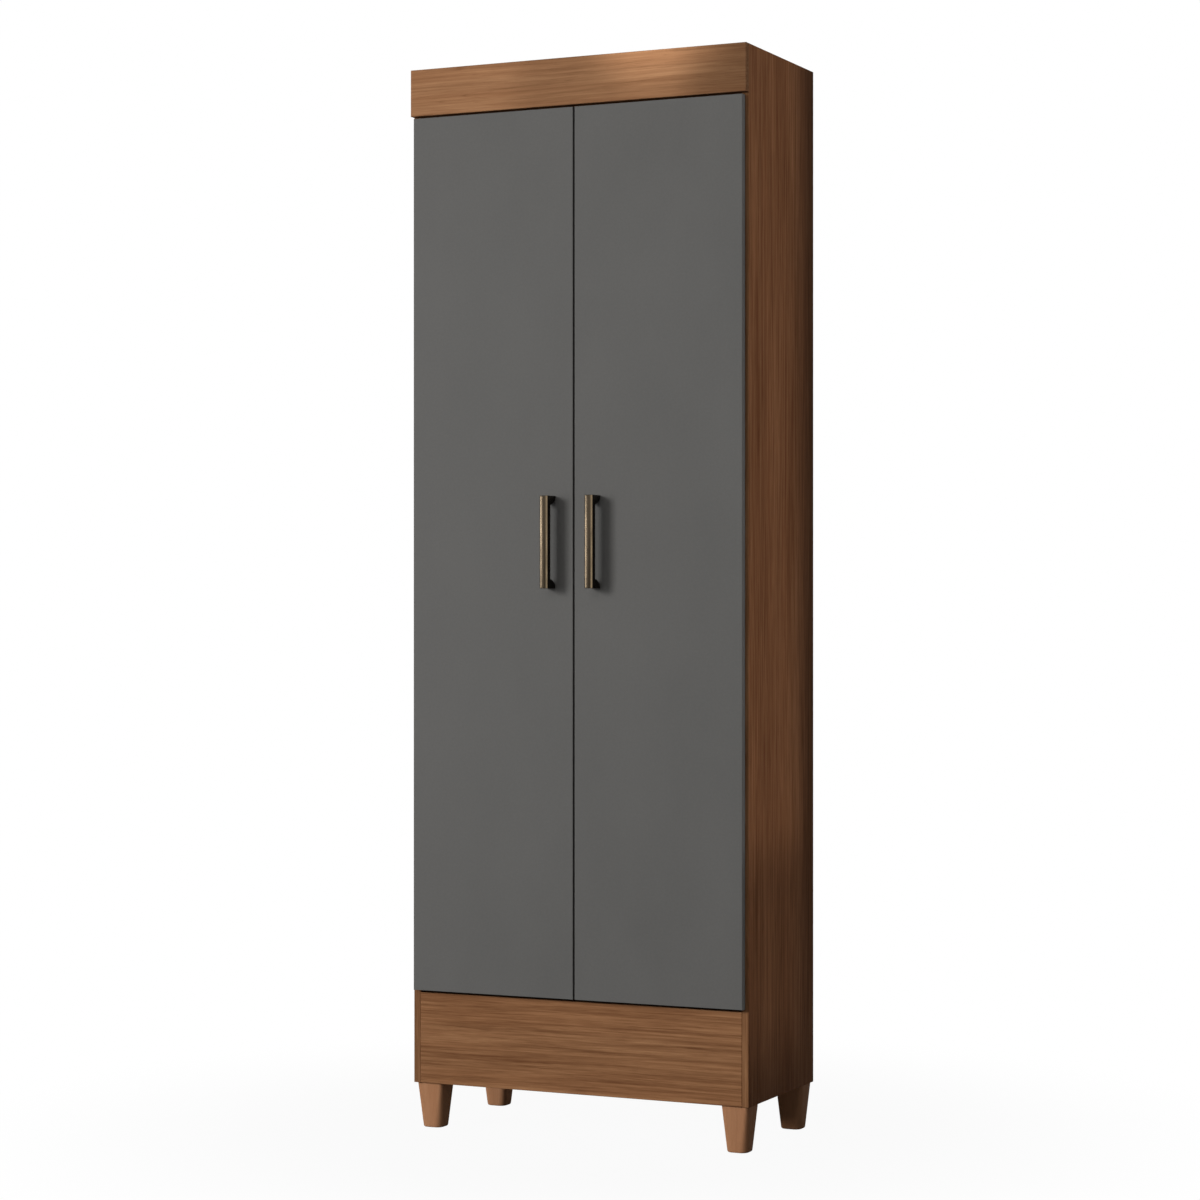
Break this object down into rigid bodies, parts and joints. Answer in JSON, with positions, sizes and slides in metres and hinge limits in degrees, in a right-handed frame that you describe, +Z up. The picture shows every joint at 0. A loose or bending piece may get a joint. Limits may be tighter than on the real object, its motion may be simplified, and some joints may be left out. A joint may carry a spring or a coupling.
{
  "type": "utility cabinet",
  "caption": "Tall narrow cabinet with twin hinged doors on concealed hinges, bar handles, shelves, a plinth and tapered feet.",
  "frame": {"origin": "on the floor, in the middle of the whole cabinet's box, handles included", "axes": "+Z up, +Y from the doors to the back, +X to the right of someone who faces the doors"},
  "size_m": [0.6, 0.3334, 1.755],
  "materials": {
    "walnut_side": "walnut foil with upright grain, satin",
    "walnut_fascia": "walnut foil with level grain, satin",
    "walnut_plinth": "walnut foil with level grain, satin",
    "walnut_inside": "walnut foil, satin",
    "back_sheet": "thin hardboard, matt",
    "strip_plastic": "extruded strip, matt",
    "foot_wood": "stained solid wood, satin",
    "pale_wood": "raw softwood",
    "graphite_door": "graphite lacquered board, matt",
    "bronze": "antique bronze, satin",
    "clear_buffer": "soft clear plastic",
    "zinc_steel": "zinc plated steel"
  },
  "bodies": {
    "carcass": {"side_panel_left": "walnut_side", "side_panel_right": "walnut_side", "top_panel": "walnut_inside", "base_panel": "walnut_inside", "fascia": "walnut_fascia", "plinth_front": "walnut_plinth", "plinth_rear": "walnut_inside", "front_rail": "walnut_inside", "rear_rail": "walnut_inside", "back_sheet_lower": "back_sheet", "back_sheet_upper": "back_sheet", "back_joining_strip": "strip_plastic", "back_nails": "zinc_steel", "fixed_shelf": "walnut_inside", "shelf_1": "walnut_inside", "shelf_2": "walnut_inside", "shelf_3": "walnut_inside", "shelf_4": "walnut_inside", "shelf_pins": "zinc_steel", "foot_front_left": "foot_wood", "foot_front_right": "foot_wood", "foot_rear_left": "foot_wood", "foot_rear_right": "foot_wood", "foot_block_front_left": "pale_wood", "foot_block_front_right": "pale_wood", "foot_block_rear_left": "pale_wood", "foot_block_rear_right": "pale_wood", "foot_bolts": "zinc_steel", "cams": "zinc_steel", "cam_bolts": "zinc_steel", "dowels": "pale_wood", "fascia_screws": "zinc_steel", "hinge_plates_left": "zinc_steel", "hinge_arms_left": "zinc_steel", "hinge_arm_pins_left": "zinc_steel", "hinge_plate_screws_left": "zinc_steel", "hinge_arm_screws_left": "zinc_steel", "hinge_plates_right": "zinc_steel", "hinge_arms_right": "zinc_steel", "hinge_arm_pins_right": "zinc_steel", "hinge_plate_screws_right": "zinc_steel", "hinge_arm_screws_right": "zinc_steel"},
    "left_links": {"hinge_links_left": "zinc_steel"},
    "right_links": {"hinge_links_right": "zinc_steel"},
    "left_door": {"door_left": "graphite_door", "handle_left": "bronze", "handle_screws_left": "zinc_steel", "door_buffers_left": "clear_buffer", "hinge_cups_left": "zinc_steel", "hinge_cup_pins_left": "zinc_steel", "hinge_cup_screws_left": "zinc_steel"},
    "right_door": {"door_right": "graphite_door", "handle_right": "bronze", "handle_screws_right": "zinc_steel", "door_buffers_right": "clear_buffer", "hinge_cups_right": "zinc_steel", "hinge_cup_pins_right": "zinc_steel", "hinge_cup_screws_right": "zinc_steel"}
  },
  "joints": [
    {"name": "left_link_swing", "type": "hinge", "parent": "carcass", "child": "left_links", "pos_m": [-0.2695, -0.12575, 0.9], "axis": [0, 0, 1], "range_deg": [0, 40.5]},
    {"name": "left_door_swing", "type": "hinge", "parent": "left_links", "child": "left_door", "pos_m": [-0.2855, -0.12625, 0.9], "axis": [0, 0, -1], "range_deg": [0, 135]},
    {"name": "right_link_swing", "type": "hinge", "parent": "carcass", "child": "right_links", "pos_m": [0.2695, -0.12575, 0.9], "axis": [0, 0, -1], "range_deg": [0, 40.5]},
    {"name": "right_door_swing", "type": "hinge", "parent": "right_links", "child": "right_door", "pos_m": [0.2855, -0.12625, 0.9], "axis": [0, 0, 1], "range_deg": [0, 135]}
  ],
  "couplings": [
    {"joint": "left_link_swing", "follows": "left_door_swing", "ratio": 0.3},
    {"joint": "right_link_swing", "follows": "right_door_swing", "ratio": 0.3}
  ]
}
